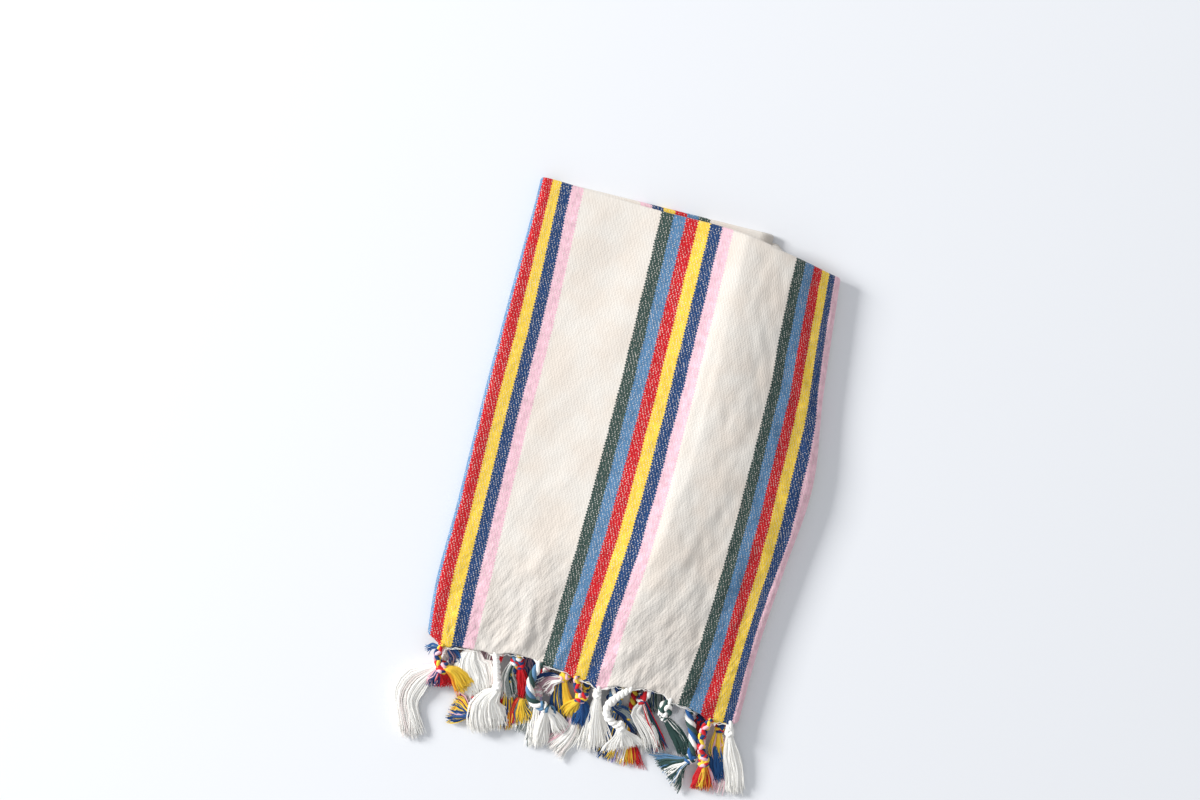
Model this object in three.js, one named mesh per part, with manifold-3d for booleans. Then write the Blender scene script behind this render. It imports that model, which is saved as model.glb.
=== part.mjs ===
// A cotton hand towel with a striped warp and knotted tassels, folded and lying on a table.
// Millimetres, +Z up, floor at z = 0. The stripes run along Y. The towel is doubled end to end,
// with the fold at +Y and both fringed ends at -Y, and then both long sides are folded under.

import * as THREE from 'three';
import { mergeVertices } from 'three/addons/utils/BufferGeometryUtils.js';
import Module from 'manifold-3d';

const wasm = await Module();
wasm.setup();

// The cloth. u is measured across the flat cloth from the left fold; the front shows u 0 to 226.
const CLOTH_THICK = 1.3;
const LEAF_PITCH = 2.8;
const LEFT_EDGE_U = -158;
const LEFT_TURN_U = 2;
const RIGHT_TURN_U = 217;
const RIGHT_EDGE_U = 276;

// Heights and radii of the middle line between the two leaves of the doubled cloth.
const FLAP_MIDDLE = LEAF_PITCH / 2 + CLOTH_THICK / 2;
const LEFT_RADIUS = 2.8;
const FRONT_MIDDLE = FLAP_MIDDLE + 2 * LEFT_RADIUS;
const OUTER = LEAF_PITCH / 2 + CLOTH_THICK / 2;
const LEFT_FLAP_WIDTH = 147;
const RIGHT_FLAP_WIDTH = 41;
const FLAP_STAGGER = 3;
const CREST_U = 140;

// Cross sections from the fringe to the top fold: y, x of the left outline, x of the cloth at
// u = 32, 82, 130 and 180, x of the right outline, crest height of the front, right fold radius.
const SECTIONS = [
  [0, -3.0, 29.0, 73.8, 117.8, 163.0, 203.8, 5.0, 2.8],
  [40, -5.8, 29.3, 75.8, 120.0, 168.0, 206.2, 6.2, 2.9],
  [95, -4.3, 28.6, 78.5, 125.0, 171.6, 210.7, 9.0, 3.2],
  [150, -4.2, 28.8, 79.8, 127.0, 174.0, 216.0, 12.0, 3.4],
  [210, -3.2, 29.8, 80.5, 127.6, 173.2, 208.9, 13.0, 3.2],
  [290, -1.0, 28.9, 80.3, 127.7, 170.8, 201.6, 11.5, 2.9],
];

// How the front climbs towards its crest: u, share of the crest height.
const CLIMB = [[LEFT_TURN_U, 0], [32, 0.05], [82, 0.3], [124, 0.72], [CREST_U, 1]];

// The outermost line of the top fold: u, y.
const TOP_EDGE = [
  [LEFT_EDGE_U, 305.0], [0, 305.8], [35, 304.3], [82, 301.8], [115, 301.5], [140, 300.6],
  [163, 299.2], [176, 294.6], [190, 291.6], [RIGHT_TURN_U, 287.9], [240, 288.5],
  [RIGHT_EDGE_U, 299.5],
];

// Tassels. Each is a twisted cord out of the hem, an overhand knot and a brush of loose yarn.
const TASSEL_GAP = 0.35;
const CORD_WIDTH = 4.6;
const KNOT_LENGTH = 8;
const KNOT_WIDTH = 7.4;
const BRUSH_NECK = 6;
const LEVEL_PITCH = 2.9;
const DROP_LENGTH = 14;
const SETTLE_FROM = 22;
const SETTLE_LENGTH = 30;
const SETTLE_SHARE = 0.3;
const ARCH_SHARE = 0.2;
const ARCH_MAX = 6;

// The four hems, from the top leaf down to the leaf on the floor, with their tassels.
// at: u on the front, or share of the flap's width; hem: y of the root; then x and y of a point
// on the cord, of the knot and of the brush's tip, and the brush's width.
const LEAVES = {
  top: {
    level: 3, side: 1, place: 'front', knotHeight: 4.4, cordHeight: 2.4, locks: 6, sides: 4,
    rows: [
      { at: 10, hem: -2.4, cord: [9.5, -9], knot: [11, -18.4], tip: [19, -32.5], brush: 16 },
      { at: 47, hem: 0.4, cord: [44, -8], knot: [50.8, -19.3], tip: [46.8, -50], brush: 19 },
      { at: 80.5, hem: 1.2, cord: [70.5, -13], knot: [82, -26.5], tip: [93.2, -53.2], brush: 12 },
      { at: 107, hem: -1.5, cord: [101, -8], knot: [107.6, -15.6], tip: [104.5, -37], brush: 16 },
      { at: 125, hem: -4.7, cord: [114.5, -9], knot: [118, -17.5], tip: [123, -46.5], brush: 8 },
      { at: 147, hem: 0.1, cord: [128.6, -10], knot: [133, -26], tip: [138, -44.5], brush: 15 },
      { at: 176, hem: -2.2, cord: [159, -11], knot: [175, -25], tip: [168, -48], brush: 18 },
      { at: 204, hem: -8.6, cord: [185.6, -20], knot: [189.4, -34.5], tip: [193.8, -56], brush: 14 },
      { at: 216.5, hem: -7.3, cord: [202.2, -11], knot: [204.4, -17], tip: [214.3, -51], brush: 11 },
    ],
  },
  second: {
    level: 2, side: -1, place: 'front', knotHeight: 2.3, cordHeight: 2, locks: 5, sides: 3,
    rows: [
      { at: 28.5, hem: 1.5, cord: [25, -8], knot: [27, -20], tip: [31, -43], brush: 14 },
      { at: 63.75, hem: 3, cord: [56, -4], knot: [50, -13], tip: [46.5, -38], brush: 14 },
      { at: 93.75, hem: 3, cord: [85.5, -1], knot: [86, -6], tip: [88, -27], brush: 16 },
      { at: 116, hem: 1, cord: [102.5, -4], knot: [100.5, -12], tip: [103, -36], brush: 14 },
      { at: 136, hem: 1, cord: [122, -5], knot: [122.5, -13], tip: [123, -38], brush: 12 },
      { at: 161.5, hem: 2, cord: [144.6, -1], knot: [144, -6.5], tip: [154, -28], brush: 13 },
      { at: 190, hem: -1, cord: [173, -8], knot: [178, -22], tip: [181, -45], brush: 13 },
      { at: 210.25, hem: -4, cord: [197, -10], knot: [198, -18], tip: [201, -43], brush: 12 },
    ],
  },
  third: {
    level: 1, side: -1, place: 'flaps', knotHeight: 2.3, cordHeight: 2, locks: 5, sides: 3,
    rows: [
      { at: -2 / 12, hem: 9, cord: [28, 4], knot: [31, -3], tip: [34, -27], brush: 16 },
      { at: -4 / 12, hem: 9, cord: [52, -1], knot: [54, -13], tip: [55, -37], brush: 13 },
      { at: -6 / 12, hem: 9, cord: [77, -4], knot: [76, -20], tip: [76, -51], brush: 15 },
      { at: -8 / 12, hem: 9, cord: [101, -4], knot: [97, -23], tip: [98, -52], brush: 15 },
      { at: -10 / 12, hem: 9, cord: [126.5, -2], knot: [128, -16], tip: [127, -41], brush: 14 },
      { at: 2 / 4, hem: 7, cord: [180, 0], knot: [186, -13], tip: [190, -38], brush: 13 },
    ],
  },
  floor: {
    level: 0, side: 1, place: 'flaps', knotHeight: 2.3, cordHeight: 1.9, locks: 5, sides: 3,
    rows: [
      { at: -1 / 12, hem: 5, cord: [13, -8], knot: [8, -24], tip: [-3.5, -63.5], brush: 19 },
      { at: -3 / 12, hem: 6, cord: [37, -4], knot: [37, -17], tip: [38, -42], brush: 14 },
      { at: -5 / 12, hem: 6, cord: [59.5, -3], knot: [62, -16], tip: [67, -39], brush: 14 },
      { at: -8 / 12, hem: 6, cord: [100, -4], knot: [102, -18], tip: [101, -44], brush: 14 },
      { at: -11 / 12, hem: 6, cord: [136, -4], knot: [139.5, -19], tip: [141, -50], brush: 15 },
      { at: 1 / 4, hem: 1, cord: [192, -6], knot: [198.5, -19], tip: [209.5, -53], brush: 13 },
    ],
  },
};

// The value at s of a smooth curve through rising [s, value] points, without overshoot.
function smooth(points, s) {
  const last = points.length - 1;
  const x = Math.min(Math.max(s, points[0][0]), points[last][0]);
  const grade = (i) => (points[i + 1][1] - points[i][1]) / (points[i + 1][0] - points[i][0]);
  const slope = (i) => {
    if (i === 0) return grade(0);
    if (i === last) return grade(last - 1);
    const [before, after] = [grade(i - 1), grade(i)];
    return before * after <= 0 ? 0 : (2 * before * after) / (before + after);
  };
  let i = 0;
  while (i < last - 1 && x > points[i + 1][0]) i += 1;
  const span = points[i + 1][0] - points[i][0];
  const t = (x - points[i][0]) / span;
  const start = points[i][1] * (1 + 2 * t) * (1 - t) ** 2;
  const end = points[i + 1][1] * t * t * (3 - 2 * t);
  return start + end + span * (slope(i) * t * (1 - t) ** 2 - slope(i + 1) * t * t * (1 - t));
}

// The cross section at y, with the left and right fold centres and the slope into the right fold.
function sectionAt(y) {
  const column = (k) => smooth(SECTIONS.map((row) => [row[0], row[k]]), y);
  const radius = column(8);
  const crest = FRONT_MIDDLE + column(7);
  const rightHeight = FLAP_MIDDLE + radius;
  const rightX = column(6) - radius - OUTER;
  const leftX = column(1) + LEFT_RADIUS + OUTER;
  const fall = 1.6 * (crest - rightHeight - radius);
  const tilt = Math.atan2(fall, rightX - column(4));
  const turnX = rightX + radius * Math.sin(tilt);
  const stations = [
    [LEFT_TURN_U, leftX], [32, column(2)], [82, column(3)], [130, column(4)],
    [180, column(5)], [RIGHT_TURN_U, turnX],
  ];
  return { radius, crest, rightHeight, rightX, leftX, tilt, stations };
}

// Height of the front's middle line at u.
function frontHeight(section, u) {
  if (u <= CREST_U) {
    return FRONT_MIDDLE + (section.crest - FRONT_MIDDLE) * smooth(CLIMB, u);
  }
  const t = (u - CREST_U) / (RIGHT_TURN_U - CREST_U);
  const end = section.rightHeight + section.radius * Math.cos(section.tilt);
  const run = 0.87 * (RIGHT_TURN_U - CREST_U);
  const ease = t * t * (3 - 2 * t);
  return section.crest * (1 - ease) + end * ease
    + run * Math.tan(section.tilt) * t * t * (1 - t);
}

// A place across the cloth: part is front, leftFold, leftFlap, rightFold or rightFlap, and at is
// u on the front, the share of the turn in a fold, or the share of the width in a flap.
// offset is the distance outwards from the middle line, and the result is [x, z].
function across(column, offset, y) {
  const s = sectionAt(y);
  const { part, at } = column;
  if (part === 'front') {
    const step = 0.5;
    const x = (u) => smooth(s.stations, u);
    const dx = x(at + step) - x(at - step);
    const dz = frontHeight(s, at + step) - frontHeight(s, at - step);
    const long = Math.hypot(dx, dz);
    return [x(at) - (offset * dz) / long, frontHeight(s, at) + (offset * dx) / long];
  }
  if (part === 'leftFold') {
    const angle = at * Math.PI;
    const reach = LEFT_RADIUS + offset;
    return [s.leftX - reach * Math.sin(angle), FLAP_MIDDLE + LEFT_RADIUS + reach * Math.cos(angle)];
  }
  if (part === 'rightFold') {
    const angle = s.tilt + at * (Math.PI - s.tilt);
    const reach = s.radius + offset;
    return [s.rightX + reach * Math.sin(angle), s.rightHeight + reach * Math.cos(angle)];
  }
  const stagger = (FLAP_STAGGER * offset * 2) / LEAF_PITCH;
  if (part === 'leftFlap') {
    return [s.leftX + at * (LEFT_FLAP_WIDTH - stagger), FLAP_MIDDLE - offset];
  }
  return [s.rightX - at * (RIGHT_FLAP_WIDTH - stagger), FLAP_MIDDLE - offset];
}

// The u of a column in a leaf at this offset.
function flatU(column, offset) {
  const leftArc = Math.PI * (LEFT_RADIUS + offset);
  const rightArc = Math.PI * (SECTIONS[0][8] + offset);
  const { part, at } = column;
  if (part === 'front') return at;
  if (part === 'leftFold') return LEFT_TURN_U - at * leftArc;
  if (part === 'rightFold') return RIGHT_TURN_U + at * rightArc;
  if (part === 'leftFlap') {
    const start = LEFT_TURN_U - leftArc;
    return start + at * (LEFT_EDGE_U - start);
  }
  const start = RIGHT_TURN_U + rightArc;
  return start + at * (RIGHT_EDGE_U - start);
}

// Columns of the cloth, from its left edge to its right edge. Every tassel hangs from a column.
function clothColumns() {
  const columns = [];
  for (let i = 12; i > 0; i -= 1) columns.push({ part: 'leftFlap', at: i / 12 });
  for (let i = 6; i > 0; i -= 1) columns.push({ part: 'leftFold', at: i / 6 });
  columns.push({ part: 'front', at: LEFT_TURN_U });
  const roots = LEAVES.top.rows.map((row) => row.at);
  for (let i = 0; i + 1 < roots.length; i += 1) {
    const steps = roots[i + 1] - roots[i] > 14 ? 4 : 2;
    for (let k = 0; k < steps; k += 1) {
      columns.push({ part: 'front', at: roots[i] + ((roots[i + 1] - roots[i]) * k) / steps });
    }
  }
  columns.push({ part: 'front', at: roots[roots.length - 1] });
  for (let i = 1; i <= 6; i += 1) columns.push({ part: 'rightFold', at: i / 6 });
  for (let i = 1; i <= 4; i += 1) columns.push({ part: 'rightFlap', at: i / 4 });
  return columns;
}

// The column from which a tassel hangs.
function rootColumn(leaf, row) {
  if (leaf.place === 'front') return { part: 'front', at: row.at };
  return row.at < 0 ? { part: 'leftFlap', at: -row.at } : { part: 'rightFlap', at: row.at };
}

// The hem's y at u: low where a tassel gathers the warp, and arched between two tassels.
function hemAt(leaves, offset, u) {
  const roots = leaves.flatMap((leaf) => leaf.rows.map(
    (row) => [flatU(rootColumn(leaf, row), offset), row.hem],
  ));
  roots.sort((a, b) => a[0] - b[0]);
  const edges = [[LEFT_EDGE_U - 8, roots[0][1]], ...roots];
  edges.push([RIGHT_EDGE_U + 8, roots[roots.length - 1][1]]);
  let i = 0;
  while (i < edges.length - 2 && u > edges[i + 1][0]) i += 1;
  const gap = edges[i + 1][0] - edges[i][0];
  const t = (u - edges[i][0]) / gap;
  const arch = Math.min(ARCH_SHARE * gap, ARCH_MAX);
  return edges[i][1] + t * (edges[i + 1][1] - edges[i][1]) + arch * Math.sin(Math.PI * t);
}

const OUTER_HEMS = [LEAVES.top, LEAVES.floor];
const INNER_HEMS = [LEAVES.second, LEAVES.third];
const OUTER_ROWS = [0, 0.025, 0.09, 0.22, 0.4, 0.58, 0.76, 0.9, 1];
const TURN_ROWS = [0.2, 0.4, 0.6, 0.8];
const INNER_ROWS = [1, 0.8, 0.5, 0.2, 0.04, 0];

// A point of the cloth's middle surface. A row is a share of the way along the outer or the
// inner leaf, or a share of the turn that joins them at the top edge.
function clothPoint(column, row) {
  const half = LEAF_PITCH / 2;
  const foldY = smooth(TOP_EDGE, flatU(column, 0)) - OUTER;
  if (row.leaf === 'turn') {
    const angle = row.at * Math.PI;
    const [x, z] = across(column, half * Math.cos(angle), foldY);
    return new THREE.Vector3(x, foldY + half * Math.sin(angle), z);
  }
  const offset = row.leaf === 'outer' ? half : -half;
  const hems = row.leaf === 'outer' ? OUTER_HEMS : INNER_HEMS;
  const hem = hemAt(hems, offset, flatU(column, offset));
  const y = hem + row.at * (foldY - hem);
  const [x, z] = across(column, offset, y);
  return new THREE.Vector3(x, y, z);
}

// A closed sheet of even thickness on a grid of points of its middle surface.
function sheetGeometry(grid, thick) {
  const rows = grid.length;
  const columns = grid[0].length;
  const at = (i, j) => grid[Math.min(Math.max(i, 0), rows - 1)][Math.min(Math.max(j, 0), columns - 1)];
  const positions = [];
  for (const side of [0.5, -0.5]) {
    for (let i = 0; i < rows; i += 1) {
      for (let j = 0; j < columns; j += 1) {
        const along = at(i + 1, j).clone().sub(at(i - 1, j));
        const over = at(i, j + 1).clone().sub(at(i, j - 1));
        const normal = over.cross(along).normalize();
        positions.push(...at(i, j).clone().addScaledVector(normal, side * thick).toArray());
      }
    }
  }
  const under = rows * columns;
  const index = [];
  const quad = (a, b, c, d) => index.push(a, b, c, a, c, d);
  for (let i = 0; i + 1 < rows; i += 1) {
    for (let j = 0; j + 1 < columns; j += 1) {
      const a = i * columns + j;
      const b = a + 1;
      const c = a + columns + 1;
      const d = a + columns;
      quad(a, b, c, d);
      quad(under + a, under + d, under + c, under + b);
    }
  }
  for (let j = 0; j + 1 < columns; j += 1) {
    const end = (rows - 1) * columns + j;
    quad(under + j, under + j + 1, j + 1, j);
    quad(end, end + 1, under + end + 1, under + end);
  }
  for (let i = 0; i + 1 < rows; i += 1) {
    const start = i * columns;
    const end = start + columns - 1;
    quad(start, start + columns, under + start + columns, under + start);
    quad(under + end, under + end + columns, end + columns, end);
  }
  const geometry = new THREE.BufferGeometry();
  geometry.setAttribute('position', new THREE.Float32BufferAttribute(positions, 3));
  geometry.setIndex(index);
  return geometry;
}

function clothGeometry() {
  const rows = [
    ...OUTER_ROWS.map((at) => ({ leaf: 'outer', at })),
    ...TURN_ROWS.map((at) => ({ leaf: 'turn', at })),
    ...INNER_ROWS.map((at) => ({ leaf: 'inner', at })),
  ];
  const columns = clothColumns();
  const grid = rows.map((row) => columns.map((column) => clothPoint(column, row)));
  return sheetGeometry(grid, CLOTH_THICK);
}

// A solid through rings of points that all wind the same way, closed at both ends.
function loft(rings) {
  const n = rings[0].length;
  const triangles = [];
  for (let i = 0; i + 1 < rings.length; i += 1) {
    for (let j = 0; j < n; j += 1) {
      const a = i * n + j;
      const b = i * n + ((j + 1) % n);
      triangles.push(a, b, b + n, a, b + n, a + n);
    }
  }
  const end = (rings.length - 1) * n;
  for (let j = 1; j + 1 < n; j += 1) {
    triangles.push(0, j + 1, j, end, end + j, end + j + 1);
  }
  return new wasm.Manifold(new wasm.Mesh({
    numProp: 3,
    vertProperties: new Float32Array(rings.flat(2)),
    triVerts: new Uint32Array(triangles),
  }));
}

// A strand through stations of { x, y, z, width, height }, where z is its level underside.
// It has 4 sides, or 3 with an edge on top.
function strand(stations, sides) {
  const rings = stations.map((p, i) => {
    const before = stations[Math.max(i - 1, 0)];
    const after = stations[Math.min(i + 1, stations.length - 1)];
    const long = Math.hypot(after.x - before.x, after.y - before.y);
    const sx = (-(after.y - before.y) / long) * (p.width / 2);
    const sy = ((after.x - before.x) / long) * (p.width / 2);
    const low = [[p.x + sx, p.y + sy, p.z], [p.x - sx, p.y - sy, p.z]];
    const top = p.z + p.height;
    if (sides === 3) return [...low, [p.x, p.y, top]];
    return [...low, [p.x - 0.7 * sx, p.y - 0.7 * sy, top], [p.x + 0.7 * sx, p.y + 0.7 * sy, top]];
  });
  return loft(rings.reverse());
}

// The underside of what lies on this level, at y. The brushes settle towards their tips.
function levelHeight(level, y) {
  const settled = Math.min(Math.max((-y - SETTLE_FROM) / SETTLE_LENGTH, 0), 1);
  return level * LEVEL_PITCH * (1 - SETTLE_SHARE * settled);
}

// The cord: from the hem through the given point into the knot, coming down to its level.
function tasselCord(leaf, row, root) {
  const level = (y) => levelHeight(leaf.level, y);
  const rise = Math.max(root.z - leaf.cordHeight / 2 - level(root.y), 0);
  const path = new THREE.CatmullRomCurve3([
    new THREE.Vector3(root.x, root.y, 0),
    new THREE.Vector3(row.cord[0], row.cord[1], 0),
    new THREE.Vector3(row.knot[0], row.knot[1], 0),
  ]);
  const stations = path.getPoints(5).map((p) => {
    const left = Math.max(0, 1 - (root.y - p.y) / DROP_LENGTH);
    return {
      x: p.x, y: p.y, z: level(p.y) + rise * left * left,
      width: CORD_WIDTH, height: leaf.cordHeight,
    };
  });
  stations[0].width = 0.8 * CORD_WIDTH;
  return strand(stations, 4);
}

// The knot: a squat six-sided bead with a level underside.
function tasselKnot(leaf, row, heading) {
  const z = levelHeight(leaf.level, row.knot[1]);
  const ring = (share, height) => Array.from({ length: 6 }, (_, k) => {
    const angle = (k * Math.PI) / 3;
    const along = share * (KNOT_LENGTH / 2) * Math.cos(angle);
    const over = share * (KNOT_WIDTH / 2) * Math.sin(angle);
    return [
      row.knot[0] + along * heading.x - over * heading.y,
      row.knot[1] + along * heading.y + over * heading.x,
      height,
    ];
  });
  return loft([ring(0.82, z), ring(1, z + leaf.knotHeight * 0.5), ring(0.6, z + leaf.knotHeight)]);
}

// The brush: locks that part on leaving the knot and end raggedly.
function tasselBrush(leaf, row, heading, index) {
  const locks = [];
  const long = Math.hypot(row.tip[0] - row.knot[0], row.tip[1] - row.knot[1]);
  const pitch = BRUSH_NECK / leaf.locks;
  const tipPitch = row.brush / leaf.locks;
  const height = leaf.level === 3 ? 1.8 : 1.6;
  for (let k = 0; k < leaf.locks; k += 1) {
    const place = k - (leaf.locks - 1) / 2;
    const ragged = 1 - 0.07 * (1 + Math.sin(2.3 * k + 1.7 * index));
    const station = (share, side, width) => {
      const x = row.knot[0] + share * long * heading.x - side * heading.y;
      const y = row.knot[1] + share * long * heading.y + side * heading.x;
      return { x, y, z: levelHeight(leaf.level, y), width, height: height * (1 - 0.2 * share) };
    };
    locks.push(strand([
      station(0.04, place * pitch * 0.9, pitch * 0.62),
      station(0.42, place * (0.45 * pitch + 0.55 * tipPitch), 0.45 * pitch + 0.4 * tipPitch),
      station(ragged, place * tipPitch, 0.84 * tipPitch),
    ], leaf.sides));
  }
  return locks;
}

function tasselGeometry(leaf, row, index) {
  const offset = (leaf.side * LEAF_PITCH) / 2;
  const rootY = row.hem - TASSEL_GAP;
  const [x, z] = across(rootColumn(leaf, row), offset, row.hem);
  const heading = new THREE.Vector2(row.tip[0] - row.knot[0], row.tip[1] - row.knot[1]).normalize();
  let solid = tasselCord(leaf, row, { x, y: rootY, z });
  solid = solid.add(tasselKnot(leaf, row, heading));
  for (const lock of tasselBrush(leaf, row, heading, index)) solid = solid.add(lock);
  const mesh = solid.getMesh();
  const geometry = new THREE.BufferGeometry();
  geometry.setAttribute('position', new THREE.BufferAttribute(mesh.vertProperties, 3));
  geometry.setIndex(new THREE.BufferAttribute(mesh.triVerts, 1));
  return mergeVertices(geometry, 1e-4);
}

const CLOTH_FINISH = { color: 0xe8e2da, roughness: 0.95, metalness: 0 };
const YARN_FINISH = { color: 0xefe9e0, roughness: 0.95, metalness: 0 };

const towel = new THREE.Group();
towel.name = 'folded_cotton_towel';

function addPiece(name, geometry, finish) {
  const mesh = new THREE.Mesh(geometry, new THREE.MeshStandardMaterial(finish));
  mesh.name = name;
  towel.add(mesh);
}

addPiece('towel_cloth', clothGeometry(), CLOTH_FINISH);
for (const [leafName, leaf] of Object.entries(LEAVES)) {
  leaf.rows.forEach((row, i) => {
    addPiece(`tassel_${leafName}_${i + 1}`, tasselGeometry(leaf, row, i), YARN_FINISH);
  });
}

// The origin is under the middle of the whole, on the floor.
const whole = new THREE.Box3().setFromObject(towel);
const middle = whole.getCenter(new THREE.Vector3());
for (const mesh of towel.children) {
  mesh.geometry.translate(-middle.x, -middle.y, -whole.min.z);
  mesh.geometry.computeVertexNormals();
}

export default towel;
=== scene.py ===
"""A folded cotton hand towel with warp stripes and a knotted, tasselled fringe."""

import math
import random

import bmesh
import bpy
import numpy as np
from mathutils import Matrix, Vector, noise as perlin


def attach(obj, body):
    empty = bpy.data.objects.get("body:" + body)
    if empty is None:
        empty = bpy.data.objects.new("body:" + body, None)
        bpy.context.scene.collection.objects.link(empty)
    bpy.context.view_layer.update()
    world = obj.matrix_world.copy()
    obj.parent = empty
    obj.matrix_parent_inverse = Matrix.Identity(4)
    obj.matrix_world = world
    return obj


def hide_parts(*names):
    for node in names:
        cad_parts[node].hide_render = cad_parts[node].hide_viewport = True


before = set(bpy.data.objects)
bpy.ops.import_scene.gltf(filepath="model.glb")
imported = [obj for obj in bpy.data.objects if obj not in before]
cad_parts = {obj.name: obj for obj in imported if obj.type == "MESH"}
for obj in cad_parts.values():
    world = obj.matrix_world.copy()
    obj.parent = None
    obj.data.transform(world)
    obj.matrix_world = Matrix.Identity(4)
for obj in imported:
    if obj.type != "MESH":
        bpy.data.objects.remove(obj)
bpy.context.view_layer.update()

# The cloth: one piece of plain-woven cotton, doubled end to end with the fold at the top, and
# then with both long sides folded under. It lies loosely, so the front climbs to a soft crest
# and falls away to the right. Sizes are in millimetres, from the towel's own zero at the left
# end of the front hem; u is measured across the flat cloth.
MM = 0.001
TOWEL_ZERO = (-103.65, -120.89)
# The doubled cloth: from leaf to leaf, the thickness of a leaf, and half of the whole.
LEAF_PITCH, CLOTH_THICK, DOUBLED_HALF = 2.8, 1.15, 2.05
# Along u: the cloth's edges, where it turns under at each side, and the crest.
LEFT_EDGE_U, LEFT_TURN_U, CREST_U, RIGHT_TURN_U, RIGHT_EDGE_U = -158, 2, 140, 217, 276
# The flaps under the front: their widths, and how far from there each of their leaves ends.
LEFT_FLAP_WIDTH, RIGHT_FLAP_WIDTH, FLAP_STAGGER = 147, 41, 3
LEFT_RADIUS = 2.8
FLAP_MIDDLE = DOUBLED_HALF
FRONT_MIDDLE = FLAP_MIDDLE + 2 * LEFT_RADIUS
# The crest leans to the left by the hem. Its fall to the right has an exponent, a share of the
# slope that it ends with, and that slope against the mean one.
CREST_LEAN, FALL_EASE, FALL_SLOPE, FALL_STEEPNESS = 8, 1.08, 0.87, 1.6
# Cross sections: y, left outline, x at u = 32, 82, 130 and 180, right outline, crest, radius of
# the right fold. The front's stations are at these u.
STATION_U = np.array([LEFT_TURN_U, 32, 82, 130, 180, RIGHT_TURN_U], float)
SECTIONS = np.array([
    [0, -3.0, 29.0, 73.8, 117.8, 163.2, 205.2, 5.0, 2.8],
    [40, -5.8, 29.3, 75.8, 120.0, 168.0, 206.2, 7.2, 2.9],
    [95, -4.3, 28.6, 78.5, 125.0, 171.6, 210.7, 10.6, 3.2],
    [150, -4.2, 28.8, 79.8, 127.0, 174.0, 216.0, 12.0, 3.4],
    [210, -3.2, 29.8, 80.5, 127.6, 173.2, 208.9, 13.0, 3.2],
    [290, -1.0, 28.9, 80.3, 127.7, 170.8, 201.6, 11.5, 2.9],
])
# How the front climbs from the left fold to the crest: u and the share of the crest's height.
CLIMB = np.array([[LEFT_TURN_U, 0], [32, 0.05], [82, 0.3], [124, 0.74], [CREST_U, 1]])
# The outline of the top fold: u and y.
TOP_EDGE = np.array([
    [LEFT_EDGE_U, 305.0], [0, 305.8], [35, 304.3], [82, 301.8], [115, 301.1], [140, 299.0],
    [155, 296.8], [166, 294.6], [176, 293.2], [190, 291.3], [RIGHT_TURN_U, 287.9], [240, 286.5],
    [266, 292.5], [271, 297.5], [RIGHT_EDGE_U, 300.0],
])
# The tassels' roots along each leaf's hem: u, y and how high the hem arches to the next one.
OUTER_ROOTS = np.array([
    [-148, 6, 5], [-112, 6, 5], [-72, 6, 4], [-48, 6, 4], [-23, 5, 1], [-6.5, 6.4, 0],
    [1.8, 1.2, -0.4], [10, -2.2, 1.2], [47, 0.4, 3.4], [80.5, 1.2, 1.2], [107, -1.5, 0.8],
    [125, -4.7, 2.2], [147, 0.1, 3.6], [176, -2.2, 1.6], [204, -8.6, 0.4], [216.5, -7.3, 1.5],
    [245, 1, 3], [270, 2, 0],
])
INNER_ROOTS = np.array([
    [-130, 9, 5], [-105, 9, 5], [-80, 9, 5], [-55, 9, 5], [-29, 9, 4], [0, 4, 4], [28.5, 1.5, 5],
    [63.75, 3, 5], [93.75, 3, 4], [116, 1, 3], [136, 1, 4], [161.5, 2, 5], [190, -1, 3],
    [210.25, -4, 4], [250, 7, 0],
])
# How far the stripes have slipped round the right fold: y, slip at u = 180 and at u = 217.
RIGHT_SLIP = np.array([
    [0, -1.0, -0.6], [40, -0.8, 0], [95, 0.4, 1.2], [120, 0.8, 3.4], [150, 1.2, 6.0],
    [180, 1.0, 3.6], [210, 0.4, 1.2], [240, 1.8, 1.2], [270, 1.6, 0.9], [290, 0.6, 0.6],
])

# The creases that show best: u and y of their two ends, the width of the steep side and the
# height.
CREASES = [
    (62, -12, 64, 85, 13, 1.7), (130, -10, 132, 75, 11, 1.2), (141, 180, 144, 305, 15, 2.0),
    (145, 35, 150, 130, 14, 0.9), (134, 60, 136, 155, 12, 1.1), (24, 40, 36, 47, 2.2, 0.35),
    (49, 74, 62, 82, 2.4, 0.35), (70, 58, 61, 74, 2.2, 0.35), (150, 44, 162, 52, 2.2, 0.4),
    (148, 92, 140, 108, 2.4, 0.35), (38, 92, 47, 112, 2.6, 0.3), (66.5, 3, 66, 25, 3.0, 1.0),
    (66.2, 17, 61.5, 44, 2.2, 0.6), (46.5, 8, 54.5, 24, 2.2, 0.8), (48, 28, 55, 39, 2.2, 0.4),
    (36, 43, 43, 60, 2.2, 0.3), (32, 16, 38, 34, 2.4, 0.4), (72, 34, 75.5, 53, 2.2, 0.4),
    (71, 20, 76, 36, 2.2, 0.5), (57, 52, 62, 78, 2.4, 0.35), (44, 62, 52, 84, 2.4, 0.3),
    (145.3, 0, 146.6, 19, 2.4, 1.0), (159.5, 1, 165.5, 15, 2.2, 0.8), (165.8, 11, 163.8, 27, 2.0, 0.6),
    (136.5, 14, 143, 30, 2.4, 0.55), (141, 20, 148, 36, 2.2, 0.45), (155, 20, 158, 40, 2.2, 0.4),
    (164.5, 49, 171, 73, 2.2, 0.4), (158, 57, 165, 78, 2.2, 0.35), (136, 58, 143, 82, 2.2, 0.4),
    (141, 46, 148, 66, 2.2, 0.4), (150, 80, 158, 108, 2.4, 0.35), (14, 6, 17, 30, 2.4, 0.5),
    (92, 4, 95, 22, 2.4, 0.5), (111, 0, 114, 20, 2.4, 0.5), (183, 4, 186, 26, 2.4, 0.5),
    (201, -2, 203, 18, 2.4, 0.4),
]
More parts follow.
